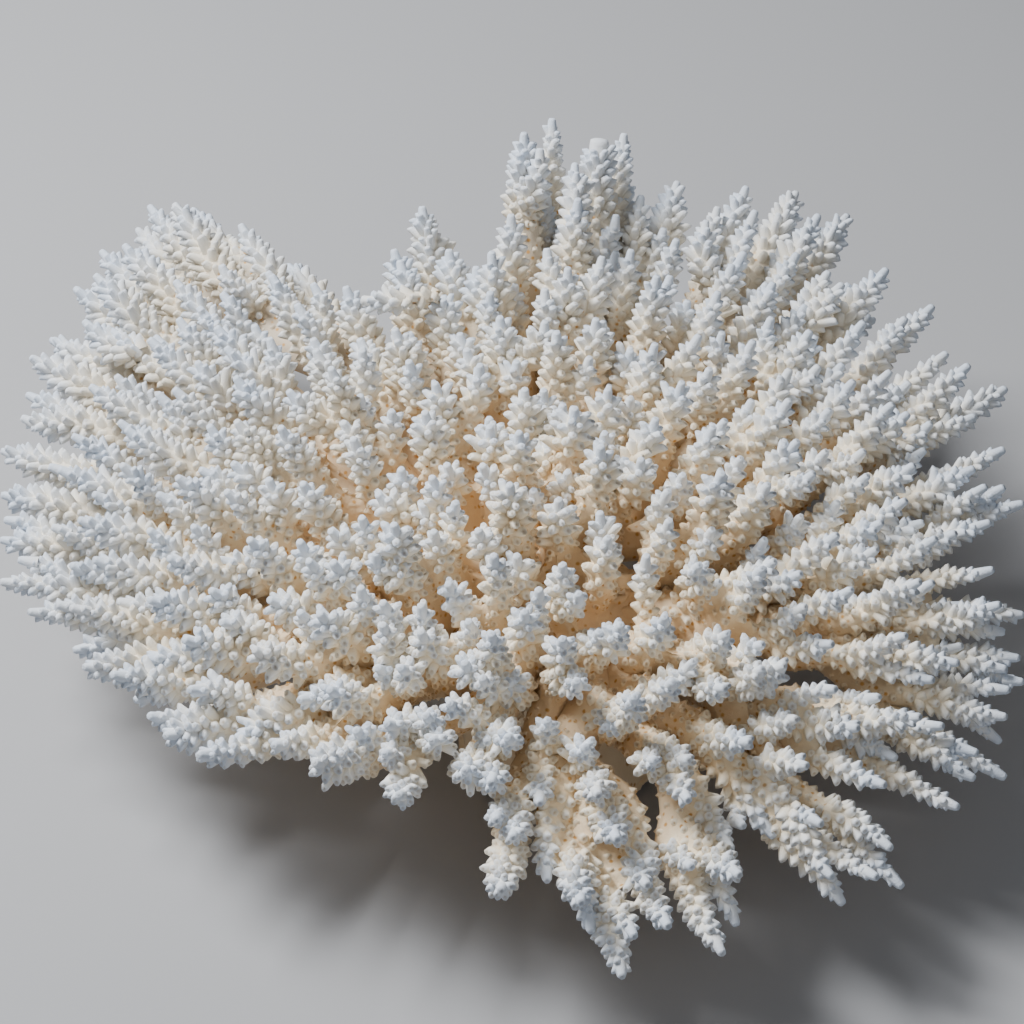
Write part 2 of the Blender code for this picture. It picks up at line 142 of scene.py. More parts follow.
# Swellings round the stalk: share of the radius, how many round it, turn with height in radians a metre, and
# turn at the foot. The solid has the first two.
STALK_SWELLINGS = ((0.06, 2, 40, 0), (0.04, 3, -25, 0), (0.02, 7, 0, 1), (0.015, 11, 60, 0))

# Tips as the photograph shows them: pixel right, pixel down, and millimetres above the crown if not on it.
TIPS = {
    "left": [
        (3, 451), (28, 395), (32, 358), (52, 340), (23, 418), (3, 495), (2, 540), (2, 582), (30, 612),
        (58, 605), (72, 608), (85, 667), (113, 675), (75, 650), (60, 470), (80, 520), (95, 560), (150, 600),
    ],
    "back_left": [
        (76, 289), (102, 252), (96, 276), (125, 246), (150, 207), (175, 205), (193, 210), (241, 226),
        (288, 266, -22), (346, 288), (138, 230), (176, 282), (217, 328), (150, 340), (110, 330),
    ],
    "front_left": [
        (136, 700), (166, 736), (199, 755), (213, 750), (237, 738), (274, 746), (315, 763), (332, 760),
        (185, 640), (255, 650), (330, 690), (385, 754), (399, 795), (300, 700), (190, 690),
    ],
    "back": [
        (422, 208, 6), (394, 251), (449, 251), (492, 253), (524, 134, 22), (552, 120, 24), (600, 139, 18),
        (624, 135, 18), (511, 216, 8), (578, 200, 16), (641, 197), (677, 183), (631, 251), (568, 269, 4),
        (596, 320), (557, 333), (608, 390), (500, 318), (657, 277),
    ],
    "back_right": [
        (746, 188), (755, 212), (796, 193), (818, 216), (847, 216), (828, 273), (886, 270), (873, 320, -20),
        (863, 323), (932, 307), (905, 319), (946, 354), (968, 366), (1005, 389), (718, 293), (732, 266),
        (762, 228), (773, 284), (753, 342), (789, 401), (713, 428), (797, 442), (853, 382), (892, 405),
        (655, 345),
    ],
    "right": [
        (913, 466), (1003, 450), (973, 469), (1003, 488), (1022, 504), (905, 501), (989, 523), (922, 523),
        (935, 539), (919, 582), (992, 570), (999, 605), (1022, 615), (1018, 658), (905, 636), (932, 653),
        (957, 663), (1005, 669), (1022, 682), (932, 680), (1005, 717), (999, 741, -16), (768, 485),
        (813, 474), (722, 474), (876, 550), (881, 523), (851, 590),
    ],
    "front_right": [
        (976, 753), (1004, 777), (957, 807), (884, 785), (895, 758), (857, 728), (919, 717),
        (773, 836, -22), (743, 826, -22), (805, 607), (800, 574), (762, 569), (719, 582), (784, 666),
        (762, 669), (665, 617),
        (727, 634), (749, 742), (673, 682), (668, 701), (842, 903), (845, 896, -14), (876, 877), (901, 886),
        (912, 876), (834, 857, -20), (688, 760),
    ],
    "front": [
        (513, 837), (496, 820), (540, 803, -18), (501, 890), (547, 880), (571, 875, -18), (581, 902),
        (591, 931), (622, 976), (634, 936), (656, 912, -16), (617, 839), (668, 926), (722, 953),
        (736, 924, -16), (739, 875), (731, 849), (647, 885), (491, 783), (465, 771), (598, 795), (688, 800),
        (487, 742), (655, 760),
    ],
    "centre": [
        (175, 390), (236, 378), (237, 422), (262, 380), (281, 428), (178, 478), (127, 430), (316, 351),
        (331, 369), (303, 484), (322, 487), (362, 518), (394, 525), (376, 554), (400, 556), (434, 532),
        (423, 505), (432, 478), (425, 413), (456, 503), (490, 427), (519, 433), (550, 440), (575, 409),
        (559, 500), (510, 485), (608, 538), (563, 565), (517, 556), (494, 556), (539, 590), (579, 594),
        (525, 612), (563, 639), (492, 634), (599, 632), (621, 625), (421, 632), (465, 663), (508, 681),
        (577, 681), (378, 668), (320, 614), (309, 561), (383, 625), (635, 697), (619, 724), (432, 741),
        (601, 447), (624, 460), (641, 460), (435, 384), (525, 390), (201, 470), (227, 492), (250, 540),
        (220, 560), (270, 600), (395, 330), (360, 340),
    ],
}


def smooth(x):
    """0 below 0, 1 above 1, and an even curve between."""
    x = min(max(x, 0.0), 1.0)
    return x * x * (3 - 2 * x)


def fan_place(x, y):
    """How far out a place is, 1 at the rim, and the level direction away from the middle of the fan."""
    away = Vector((x, y)) - FAN_CENTRE
    return away.length / REACH, away.normalized() if away.length > 1e-6 else Vector((0, 1))


def frontness(away):
    """1 for what leans towards the front, 0 for the back."""
    return smooth(0.5 - FRONT_WIDTH * away.y)


def crown_height(x, y):
    """The height of the dome that the tips share."""
    out, away = fan_place(x, y)
    front = frontness(away)
    drop = FRONT_DROP * front + SIDE_DROP * abs(away.x) * (1 - front)
    return CROWN_HEIGHT - drop * out**CROWN_ROUNDNESS


def lean_direction(x, y):
    """Which way a branchlet points at its tip: upright in the middle, outwards at the rim."""
    out, away = fan_place(x, y)
    front = frontness(away)
    side = abs(away.x) * (1 - front)
    rim_lean = BACK_LEAN + (SIDE_LEAN - BACK_LEAN) * side + (FRONT_LEAN - BACK_LEAN) * front
    power = LEAN_POWER + (FRONT_LEAN_POWER - LEAN_POWER) * front
    return rim_lean * min(out, MOST_OUT) ** power, away


def direction(lean, away):
    """The direction that leans so far from upright, the level way away."""
    return Vector((away.x * math.sin(lean), away.y * math.sin(lean), math.cos(lean)))


def sight_line(px, py):
    """The eye and the direction of the sight line through a place in the photograph."""
    ahead = Vector((0, math.cos(VIEW_ELEVATION), -math.sin(VIEW_ELEVATION)))
    up = Vector((0, math.sin(VIEW_ELEVATION), math.cos(VIEW_ELEVATION)))
    per_pixel = PHOTO_WIDTH / PHOTO_SIDE / VIEW_DISTANCE
    half = PHOTO_SIDE / 2
    line = ahead + Vector((1, 0, 0)) * (px - half) * per_pixel + up * (half - py) * per_pixel
    return AIM - ahead * VIEW_DISTANCE, line


def seen_on_crown(px, py, above=0.0):
    """The place on the crown, or so far above it, that the photograph shows at this pixel."""
    eye, line = sight_line(px, py)
    height = CROWN_HEIGHT
    for _ in range(SIGHT_ROUNDS):
        place = eye + line * ((height - eye.z) / line.z)
        height = 0.5 * (height + crown_height(place.x, place.y) + above)
    return place


def curve(root, bend, tip, t):
    """A place on the curve that leaves the root towards the bend and reaches the tip from it."""
    return root * (1 - t) ** 2 + bend * 2 * t * (1 - t) + tip * t * t


class Branchlet:
    """One branchlet: its tip, the point on the table that it rises from, and the bend between them."""

    def __init__(self, tip):
        lean, away = lean_direction(tip.x, tip.y)
        out, front = fan_place(tip.x, tip.y)[0], frontness(away)
        rim = RIM_BRANCHLET + (FRONT_BRANCHLET - RIM_BRANCHLET) * front
        length = MIDDLE_BRANCHLET + (rim - MIDDLE_BRANCHLET) * min(out, 1)
        start_lean = min(lean + START_LEAN, max(lean, LEVEL))
        on_crown = Vector((tip.x, tip.y, crown_height(tip.x, tip.y)))
        self.bend = on_crown - direction(lean, away) * length * UPPER_SHARE
        self.root = self.bend - direction(start_lean, away) * length * (1 - UPPER_SHARE)
        self.tip = tip
        self.parent = None
        self.children = []

    def at(self, t):
        """The centre line between root and tip."""
        return curve(self.root, self.bend, self.tip, t)


def clearance(branchlet, others):
    """The least distance between this branchlet's upper part and the others'."""
    if not others:
        return 1.0
    steps = np.linspace(*UPPER_PART, UPPER_SAMPLES)
    mine = np.array([branchlet.at(t) for t in steps])
    theirs = np.array([other.at(t) for other in others for t in steps])
    return np.linalg.norm(mine[:, None] - theirs[None], axis=2).min()


def placed_tips():
    """Branchlets at the main tips of the photograph, raised or lowered a little where two would cross."""
    made = []
    for group in TIPS.values():
        for px, py, *above in group:
            base = above[0] if above else 0
            tries = [Branchlet(seen_on_crown(px, py, (base + step) / 1000)) for step in SHIFTS]
            tries = [b for b in tries if all((b.tip - other.tip).length > MAIN_SPACING for other in made)]
            if tries:
                made.append(max(tries, key=lambda b: min(clearance(b, made), CLEAR)))
    return made


def on_bare_place(tip):
    """Whether the photograph shows the ground where this tip would stand."""
    for px, py in BARE_PLACES:
        eye, line = sight_line(px, py)
        if (tip - eye).cross(line.normalized()).length < BARE_RADIUS:
            return True
    return False


def spiral(branchlets, count, margin, turn=0.0):
    """Even places over the crown, inside its rim by the margin, each with its number on the spiral."""
    rim = [b.tip.xy - FAN_CENTRE for b in branchlets]
    for i in range(count):
        radius = REACH * math.sqrt((i + 0.5) / count)
        angle = i * GOLDEN_ANGLE + turn
        spoke = Vector((math.cos(angle), math.sin(angle)))
        reach = [r.length for r in rim if r.normalized().dot(spoke) > RIM_ALIGNED]
        if radius < max(reach, default=0) - margin:
            x, y = FAN_CENTRE + spoke * radius
            yield i, x, y


def filled_tips(made):
    """Branchlets that fill the crown where the photograph hides it, on an even spiral inside the rim."""
    for _, x, y in spiral(list(made), SPIRAL_POINTS, RIM_MARGIN):
        tip = Vector((x, y, crown_height(x, y)))
        near = min((tip - b.tip).length for b in made)
        if near > FILL_SPACING and not on_bare_place(tip):
            made.append(Branchlet(tip))
    return made


def grow():
    """All branchlets, each joined to the one whose root carries it back towards the stalk."""
    made = filled_tips(placed_tips())
    made.sort(key=lambda b: b.root.xy.length)
    for i, branchlet in enumerate(made):
        reach = branchlet.root.xy.length
        inward = -branchlet.root.xy.normalized()
        best_cost, best = math.inf, None
        for other in made[:i]:
            if reach < STALK_TOP_RADIUS or other.root.xy.length > reach - SHORTEST_LIMB:
                continue
            step = other.root - branchlet.root
            run = step.xy.normalized().dot(inward)
            turn = 1 - other.root.xy.normalized().dot(-inward)
            cost = step.length * (1 + DETOUR_COST * (1 - run)) + TURN_COST * turn
            if cost < best_cost:
                best_cost, best = cost, other
        branchlet.parent = best
        branchlet.start = best.root if best else HEART
        if best:
            best.children.append(branchlet)
    for number, branchlet in enumerate(made):
        branchlet.number = number
    return made


def limb_radii(branchlets):
    """Gives each branchlet the radius of the limb that leads to it: thicker the more tips it carries."""
    for branchlet in reversed(branchlets):
        carried = STEM_RADIUS**3 + sum(child.radius**3 for child in branchlet.children)
        branchlet.radius = min(carried ** (1 / 3), THICKEST_LIMB)


def pieces(branchlets):
    """The branchlets sorted into pieces, each a limb with what it carries up to the next main fork."""
    parted = []

    def gather(branchlet):
        own = [branchlet]
        for child in sorted(branchlet.children, key=lambda c: c.radius):
            carried = gather(child)
            if len(own) + len(carried) <= TIPS_PER_PIECE:
                own += carried
            elif carried:
                parted.append(carried)
        return own

    for branchlet in branchlets:
        if branchlet.parent is None:
            parted.append(gather(branchlet))
    return sorted(parted, key=lambda piece: (piece[0].start - HEART).length)


def side_name(piece):
    """Where on the table a piece lies, in words."""
    middle = sum((b.tip.xy for b in piece), Vector((0, 0))) / len(piece) - FAN_CENTRE
    if middle.length < MIDDLE_SHARE * REACH:
        return "middle"
    words = ("right", "back_right", "back", "back_left", "left", "front_left", "front", "front_right")
    return words[round(math.atan2(middle.y, middle.x) / (math.pi / 4)) % 8]


# Twigs: the tips between those of the main branchlets.
TWIG_SPACING = 0.0062  # between a twig's tip from the photograph and any other tip
TWIG_FILL_SPACING = 0.0118  # between one that fills the crown and any other
TWIG_SPIRAL_POINTS = 1500
TWIG_SPIRAL_TURN = 0.4
TWIG_RIM_MARGIN = 0.004
TWIG_DROP = 0.008  # filling tips end at most this far below the crown
TWIG_DROP_PACE = 12.9  # how the drop changes from one to the next
SAME_SIGHT = 0.0018  # a tip this near a sight line is the one that the line shows
TWIG_LENGTH = (0.017, 0.026)
TWIG_ROOTS = (0.008, 0.048)  # how far below its carrier's tip a twig may leave it
TWIG_LEAN = math.radians(12)
TWIG_TURN_COST = 0.02  # of a twig that has to turn much, in metres
TWIG_STRAIGHT = 0.8  # cosine above which it costs nothing
TWIG_BEND = 0.55  # where along its length it bends, from the tip
TWIG_ROOT_RADIUS = 0.0036

# Smaller tips between those above, as pixels of the photograph, with millimetres above the crown.
SMALL_TIPS = (
    (12, 440), (8, 480), (6, 520), (20, 560), (85, 322), (150, 716), (476, 268), (575, 165, 18),
    (540, 150, 20), (652, 205), (706, 222), (842, 285), (985, 487), (1003, 632), (1008, 690), (973, 778),
    (890, 848), (400, 262), (361, 588), (376, 626), (402, 632), (421, 606), (383, 603), (426, 716),
    (450, 704), (387, 724), (436, 744), (464, 662), (483, 678), (383, 666), (313, 560), (333, 563),
    (377, 552), (401, 555), (547, 250, 4), (545, 290), (602, 258, 4), (330, 600), (566, 668), (640, 636),
    (300, 542),
)

# More places where the photograph shows the ground: twigs are filled in nearer to the rim than branchlets.
NO_TWIG_PLACES = ((357, 276), (486, 218), (729, 815), (314, 243), (505, 178), (508, 918), (906, 822))

# A limb that broke off long ago: where its smooth stub ends and bends.
STUB = ((360, 300), (404, 303))
STUB_RADIUS = 0.0019

# The branch that lost its end: it is this thick to the last, and bare of cups there.
BLUNT_TIP = (600, 139)
BLUNT_RADIUS = 0.0034
BLUNT_LENGTH = 0.004

# How centre lines are sampled, evened out and bent.
LIMB_SAMPLES = 5
BRANCHLET_SAMPLES = 14
TWIG_SAMPLES = 12
STUB_SAMPLES = 10
STEP = 0.0012
FEWEST_STEPS = 6
EVEN_ROUNDS = 6
WAVE = 0.0007
WAVE_TURNS = (110, 190)  # radians a metre
ANY_WAY = (0.3, 0.5, 0.8)  # along no branch's start

# The round core of a branch, by the distance from its tip.
CORE = (
    (0.0, 0.0010), (0.003, 0.0014), (0.008, 0.0023), (0.014, 0.0032), (0.024, 0.0045), (0.036, 0.0052),
    (0.050, 0.0054),
)
TWIG_CORE = ((0.0, 0.0010), (0.003, 0.0013), (0.008, 0.0020), (0.014, 0.0027), (0.024, 0.0035))
STOUTNESS = (0.78, 1.14)  # from the thinnest branch to the stoutest, as a share of that
THIN_WAY = Vector((0.75, -0.66))  # the photograph's branches are thinner at this side of the rim
THIN_SHARE = 0.30  # by this share
YOUNG_PART = (0.60, 0.54)  # the distances' scale in the middle of the fan, and how much it grows to the rim
WEB = 0.0027  # crevices up to twice this are filled in where a branch is old
WEB_START = 0.011
WEB_FULL = 0.028
CORE_TIP = 0.0003
ROOT_RISE = 0.030  # how far up a branchlet its limb's thickness is felt
ROOT_RISE_SHARE = 0.7  # of its length at most
CORE_SIDES = 9
VOXEL = 0.0011
SMOOTHING = 0.5
SMOOTHINGS = (3, 2)  # before the skin is drawn in, and after
BLOCK = 4000  # corners measured at a time
CUT_BAND = 0.0008  # skin lower than this lies in the cut face
CORE_SHARE = 0.30  # of the skin's triangles that are kept

# Cups: the tubes that each held one polyp. The tables go by the distance from the branch's tip, as CORE does:
# between neighbours, how far a mouth stands out from the core, degrees from the branch's way, and lip radius.
CUP_SIDES = 6
CUP_CORNERS = 3 * CUP_SIDES + 1
CUP_SPACING = ((0.0, 0.0025), (0.008, 0.0031), (0.018, 0.0037), (0.028, 0.0044), (0.055, 0.0046))
CUP_REACH = (
    (0.0, 0.0010), (0.004, 0.0016), (0.010, 0.0024), (0.016, 0.0026), (0.023, 0.0019), (0.032, 0.0010),
    (0.044, 0.0005), (0.054, 0.0002),
)
CUP_LEAN = ((0.0, 28), (0.005, 40), (0.012, 50), (0.025, 58), (0.040, 66), (0.055, 74))
CUP_RADIUS = ((0.0, 0.00088), (0.006, 0.00106), (0.016, 0.00122), (0.032, 0.00122), (0.055, 0.00098))
CUP_FIRST = 0.0034
CUP_LAST = 0.054
CUP_SAMPLES = 200
CUP_STAND = 0.001  # the spacing is kept this far outside the core
CUP_STRAY = 0.4  # from the even place, as a share of the way to the next
CUP_TURN_STRAY = 0.25  # radians round the branch
REACH_CHANCE = (0.6, 1.3)  # shares of what the tables say, from least to most
LEAN_CHANCE = (0.85, 1.15)
RADIUS_CHANCE = (0.88, 1.12)
LONG_CUPS = 0.05  # this share of the cups between these distances is so many times as long
LONG_PART = (0.010, 0.034)
LONG_CUP = 1.6
CUP_SUNK = 0.0004  # a cup's foot below the core's surface
CUP_BURIED = 0.0012  # how far its wall goes on below its foot
CUP_FOOT = 1.55  # the wall's radius there, times the lip's
CUP_EDGE = 0.6  # the widest ring below the lip, and the pit's depth, times the lip's radius
CUP_MOUTH = 0.66  # the mouth's radius, times the lip's
CUP_SLANT = 0.4  # how far a lip's outer side stands out beyond its inner side, times its radius
CUP_CLEAR = 0.0002  # a mouth nearer than this to another branch's core is left out
WIDEST_CORE = 0.0085  # no core's radius is more
TIP_CUP_RADIUS = 0.00130
TIP_CUP_LENGTH = 0.0048
TIP_CUP_BURIED = 0.0042

# Ages drive the colour, from 0 at a tip to 1 for old wood.
OLD = 0.055  # at this distance from its tip a branch looks old
AGE_PACE = (0.45, 0.62)  # as YOUNG_PART, for colour
CORE_AGE = 0.16
CUP_YOUTH = 0.30  # how much younger than its branch a cup's lip looks
CUP_YOUTHS = (0.0, 0.85, 1.0, 0.5)  # the share of that at its foot, its widest ring, its mouth and its pit
STALK_AGE = 0.62
CORE_TONE = 0.3  # cups have any tone from 0 to 1

LOOKS_SEED = 21
TWIG_SEED = 1000
STUB_SEED = 5000

# Colours by age, for the middle of the fan, its rim, and the insides of the cups.
# The blue in the tips' white at age 0, in both tables, is painted cool light on the uppermost parts.
MIDDLE_COLOURS = (
    (0.0, (0.73, 0.79, 0.875)), (0.16, (0.88, 0.88, 0.86)), (0.36, (0.95, 0.86, 0.69)),
    (0.64, (0.92, 0.75, 0.51)), (1.0, (0.76, 0.56, 0.34)),
)
# The rim's colours are darker and greyer than the middle's: painted shade, for the weaker light at the rim
# and the less warm light bounced onto it from other branches.
RIM_SHADED_COLOURS = (
    (0.0, (0.63, 0.695, 0.79)), (0.15, (0.75, 0.765, 0.78)), (0.36, (0.81, 0.755, 0.645)),
    (0.64, (0.76, 0.665, 0.51)), (1.0, (0.56, 0.46, 0.34)),
)
# Painted shade inside the cups' mouths, darkest at the middle of each pit: grey near the tips, and towards
# old wood also the brown of old cups.
CUP_SHADE_COLOURS = ((0.0, (0.50, 0.53, 0.58)), (0.4, (0.56, 0.45, 0.32)), (1.0, (0.50, 0.28, 0.11)))
CUP_SHADE_SHARE = 0.9
RIM_SHADE_START = 0.09  # metres from the cut face's middle, where the rim's painted shade begins
RIM_SHADE_PACE = 16.0  # a metre: how soon the rim's painted shade comes on in full
TONE_COLOUR = (0.80, 0.83, 0.88)
TONE_SHARE = 0.12
PATCH_SCALE = 60
PATCH_DETAIL = 2
PATCH_SHARE = 0.6
FINE_SCALE = 1900
FINE_DETAIL = 0

# Small pits in old wood, painted in the colour alone: cells of noise, with a pit in the middle of each. Their
# dark brown is painted shade in the holes, along with the brown of old wood.
PIT_SHADE_COLOUR = (0.56, 0.30, 0.09)
PIT_SCALE = 370
PIT_RANDOMNESS = 0.75
PIT_DEPTH = 1.9
PIT_EDGE = 6.5
PIT_AGE = 0.42  # where they start
PIT_AGE_PACE = 4.0

# The grain: how much it shifts the overlay's grey, and what the surface is like.
GRAIN_SHARE = 0.16
GRAIN_GREYS = ((0.3, (0.4, 0.4, 0.4)), (0.7, (0.62, 0.62, 0.62)))
GRAIN_OVERLAY = 0.5
SPECULAR = 0.35
ROUGHNESS = 0.72
ROUGHNESS_SHARE = 0.3
BUMP_STRENGTH = 0.6
BUMP_DISTANCE = 0.00015

# The stage. Lights: name, place, size, power and colour.
FLOOR_SIZE = 6
FLOOR_COLOUR = (0.38, 0.38, 0.39, 1)
FLOOR_ROUGHNESS = 0.9
LIT_PLACE = Vector((0, 0.02, 0.05))
LIGHTS = (
    ("key", (-0.54, 0.22, 0.88), 0.38, 20.5, (0.965, 0.983, 1.0)),
    ("fill", (0.25, -0.9, 0.9), 0.9, 2.0, (0.95, 0.97, 1.0)),
)
WORLD_COLOUR = (0.90, 0.94, 1.0, 1)
WORLD_STRENGTH = 0.16
SENSOR_WIDTH = 36


def along(table, distance):
    """Looks distances up in a table of (distance, value)."""
    return np.interp(distance, [row[0] for row in table], [row[1] for row in table])


def unit(vectors):
    """The vectors at length one."""
    return vectors / np.maximum(np.linalg.norm(vectors, axis=-1, keepdims=True), 1e-9)


class Branch:
    """A centre line from its start to its tip, in even steps, with the core's radius at each."""

    def __init__(self, rough, node, seed, core, root_radius, limb_length=0.0):
        self.node = node
        self.chance = np.random.default_rng(LOOKS_SEED + seed)
        lengths = np.concatenate([[0], np.cumsum(np.linalg.norm(np.diff(rough, axis=0), axis=1))])
        steps = max(int(lengths[-1] / STEP), FEWEST_STEPS)
        even = np.linspace(0, lengths[-1], steps)
        line = np.stack([np.interp(even, lengths, rough[:, k]) for k in range(3)], axis=1)
        for _ in range(EVEN_ROUNDS):
            line[1:-1] = 0.25 * line[:-2] + 0.5 * line[1:-1] + 0.25 * line[2:]
        phase = self.chance.uniform(0, 2 * math.pi, 3)
        turns = self.chance.uniform(*WAVE_TURNS, 3)
        fade = np.sin(np.linspace(0, math.pi, steps))[:, None]
        line += WAVE * fade * np.sin(even[:, None] * turns + phase)
        self.line = line
        self.below = even[-1] - even
        self.ahead = unit(np.gradient(line, axis=0))
        side = np.empty_like(line)
        last = np.cross(self.ahead[0], ANY_WAY)
        for i, ahead in enumerate(self.ahead):
            last = last - ahead * last.dot(ahead)
            last /= np.linalg.norm(last)
            side[i] = last
        self.side = side
        self.across = np.cross(self.ahead, side)
        out, away = fan_place(line[-1, 0], line[-1, 1])
        out = min(out, 1)
        self.pace = YOUNG_PART[0] + YOUNG_PART[1] * out * out
        self.grown = self.below / self.pace
        self.age = self.below / OLD / (AGE_PACE[0] + AGE_PACE[1] * out * out)
        self.stout = self.chance.uniform(*STOUTNESS)
        self.stout *= 1 - THIN_SHARE * out * max(away.dot(THIN_WAY), 0)
        self.blunt = False
        self.radius = along(core, self.grown) * self.stout
        self.web = WEB * np.clip((self.grown - WEB_START) / (WEB_FULL - WEB_START), 0, 1)
        rise_length = min(ROOT_RISE, ROOT_RISE_SHARE * (even[-1] - limb_length))
        rise = np.clip(1 - (even - limb_length) / rise_length, 0, 1)
        self.radius = self.radius + np.maximum(root_radius - self.radius, 0) * rise * rise * (3 - 2 * rise)

    def there(self, values, below):
        """What values along the branch are at these distances from its tip."""
        if values.ndim == 1:
            return np.interp(-below, -self.below, values)
        return np.stack([np.interp(-below, -self.below, column) for column in values.T], 1)


def branches_of(branchlets, node_of):
    """The main branches: each branchlet with the stretch of limb below it."""
    made = []
    for b in branchlets:
        limb = [tuple(b.start.lerp(b.root, t)) for t in np.linspace(0, 1, LIMB_SAMPLES)[:-1]]
        rough = np.array(limb + [tuple(b.at(t)) for t in np.linspace(0, 1, BRANCHLET_SAMPLES)])
        limb_length = (b.start - b.root).length
        made.append(Branch(rough, node_of[b.number], b.number, CORE, b.radius, limb_length))
    tips = np.array([branch.line[-1] for branch in made])
    blunt = made[int(sight_distances(tips, *BLUNT_TIP).argmin())]
    blunt.blunt = True
    blunt.radius = np.maximum(blunt.radius, BLUNT_RADIUS)
    return made


def sight_distances(tips, px, py):
    """How far the tips are from a sight line."""
    eye, line = sight_line(px, py)
    line = np.array(line.normalized())
    to = tips - np.array(eye)
    return np.linalg.norm(to - (to @ line)[:, None] * line, axis=1)


def twig_tips(branchlets):
    """Where the twigs end: at the photograph's other tips, then wherever the crown is still bare."""
    mains = np.array([tuple(b.tip) for b in branchlets])
    found = []

    def room(tip):
        near = np.linalg.norm(mains - tip, axis=1).min()
        return min([near] + [np.linalg.norm(other - tip) for other in found])

    for px, py, *above in [place for group in TIPS.values() for place in group] + list(SMALL_TIPS):
        if sight_distances(mains, px, py).min() > SAME_SIGHT:
            tip = np.array(seen_on_crown(px, py, (above[0] if above else 0) / 1000))
            if room(tip) > TWIG_SPACING:
                found.append(tip)
    for i, x, y in spiral(branchlets, TWIG_SPIRAL_POINTS, TWIG_RIM_MARGIN, TWIG_SPIRAL_TURN):
        drop = TWIG_DROP * (math.sin(i * TWIG_DROP_PACE) * 0.5 + 0.5)
        tip = np.array((x, y, crown_height(x, y) - drop))
        bare = on_bare_place(Vector(tip)) or any(
            sight_distances(tip[None], *place)[0] < BARE_RADIUS for place in NO_TWIG_PLACES
        )
        if room(tip) > TWIG_FILL_SPACING and not bare:
            found.append(tip)
    return found


def twigs_of(branchlets, mains):
    """The twigs, each leaving the branch that passes nearest to where it would have grown."""
    places, owners = [], []
    for owner, branch in enumerate(mains):
        fit = (branch.below > TWIG_ROOTS[0]) & (branch.below < TWIG_ROOTS[1])
        places.append(branch.line[fit])
        owners += [owner] * int(fit.sum())
    places = np.concatenate(places)
    owners = np.array(owners)
    made = []
    for i, tip in enumerate(twig_tips(branchlets)):
        chance = np.random.default_rng(LOOKS_SEED + TWIG_SEED + i)
        lean, away = lean_direction(tip[0], tip[1])
        way = np.array(direction(lean + chance.uniform(-TWIG_LEAN, TWIG_LEAN), away))
        ideal = tip - way * chance.uniform(*TWIG_LENGTH)
        step = tip - places
        length = np.linalg.norm(step, axis=1)
        along_way = (step @ way) / np.maximum(length, 1e-6)
        turn_cost = TWIG_TURN_COST * np.maximum(TWIG_STRAIGHT - along_way, 0)
        best = int((np.linalg.norm(places - ideal, axis=1) + turn_cost).argmin())
        bend = tip - way * length[best] * TWIG_BEND
        rough = curve(places[best], bend, tip, np.linspace(0, 1, TWIG_SAMPLES)[:, None])
        node = mains[owners[best]].node
        made.append(Branch(rough, node, TWIG_SEED + i, TWIG_CORE, TWIG_ROOT_RADIUS))
    made.append(stub_of(mains))
    return made


def stub_of(mains):
    """The smooth stub of the broken limb, on the main branch that passes nearest to its bend."""
    end, bend = (np.array(seen_on_crown(*place)) for place in STUB)
    owner = min(mains, key=lambda branch: np.linalg.norm(branch.line - bend, axis=1).min())
    root = owner.line[int(np.linalg.norm(owner.line - bend, axis=1).argmin())]
    rough = curve(root, bend, end, np.linspace(0, 1, STUB_SAMPLES)[:, None])
    stub = Branch(rough, owner.node, STUB_SEED, TWIG_CORE, STUB_RADIUS)
    stub.blunt = True
    stub.radius = np.full(len(stub.line), STUB_RADIUS)
    return stub


def circle(side, across, angles):
    """For each pair of directions square to each other, the directions between them at these angles."""
    return side[:, None] * np.cos(angles)[None, :, None] + across[:, None] * np.sin(angles)[None, :, None]


def tube_faces(rings, sides):
    """The triangles of a closed tube, whose corners are its rings and then the middles of its two ends."""
    k = np.arange(sides)
    nxt = (k + 1) % sides
    low = (np.arange(rings - 1) * sides)[:, None]
    a, b = low + k, low + nxt
    c, d = a + sides, b + sides
    walls = [np.stack([a, b, d], -1).reshape(-1, 3), np.stack([a, d, c], -1).reshape(-1, 3)]
    foot = np.stack([nxt, k, np.full_like(k, rings * sides)], -1)
    last = (rings - 1) * sides
    head = np.stack([last + k, last + nxt, np.full_like(k, rings * sides + 1)], -1)
    return np.concatenate([*walls, foot, head])


def core_tube(branch):
    """The corners and faces of a branch's round core, closed at both ends."""
    round_ = circle(branch.side, branch.across, np.linspace(0, 2 * math.pi, CORE_SIDES, endpoint=False))
    rings = branch.line[:, None] + (branch.radius + branch.web)[:, None, None] * round_
    end = branch.line[-1:] + branch.ahead[-1:] * CORE_TIP
    points = np.concatenate([rings.reshape(-1, 3), branch.line[:1], end])
    return points, tube_faces(len(branch.line), CORE_SIDES)


def joined(parts):
    """Several (corners, faces) made one."""
    points, faces, start = [], [], 0
    for p, f in parts:
        points.append(p)
        faces.append(f + start)
        start += len(p)
    return np.concatenate(points), np.concatenate(faces)


def mesh_of(name, points, faces):
    """A mesh of triangles."""
    mesh = bpy.data.meshes.new(name)
    mesh.vertices.add(len(points))
    mesh.vertices.foreach_set("co", points.astype(np.float32).ravel())
    mesh.loops.add(faces.size)
    mesh.loops.foreach_set("vertex_index", faces.astype(np.int32).ravel())
    mesh.polygons.add(len(faces))
    mesh.polygons.foreach_set("loop_start", np.arange(0, faces.size, 3, dtype=np.int32))
    mesh.update(calc_edges=True)
    return mesh


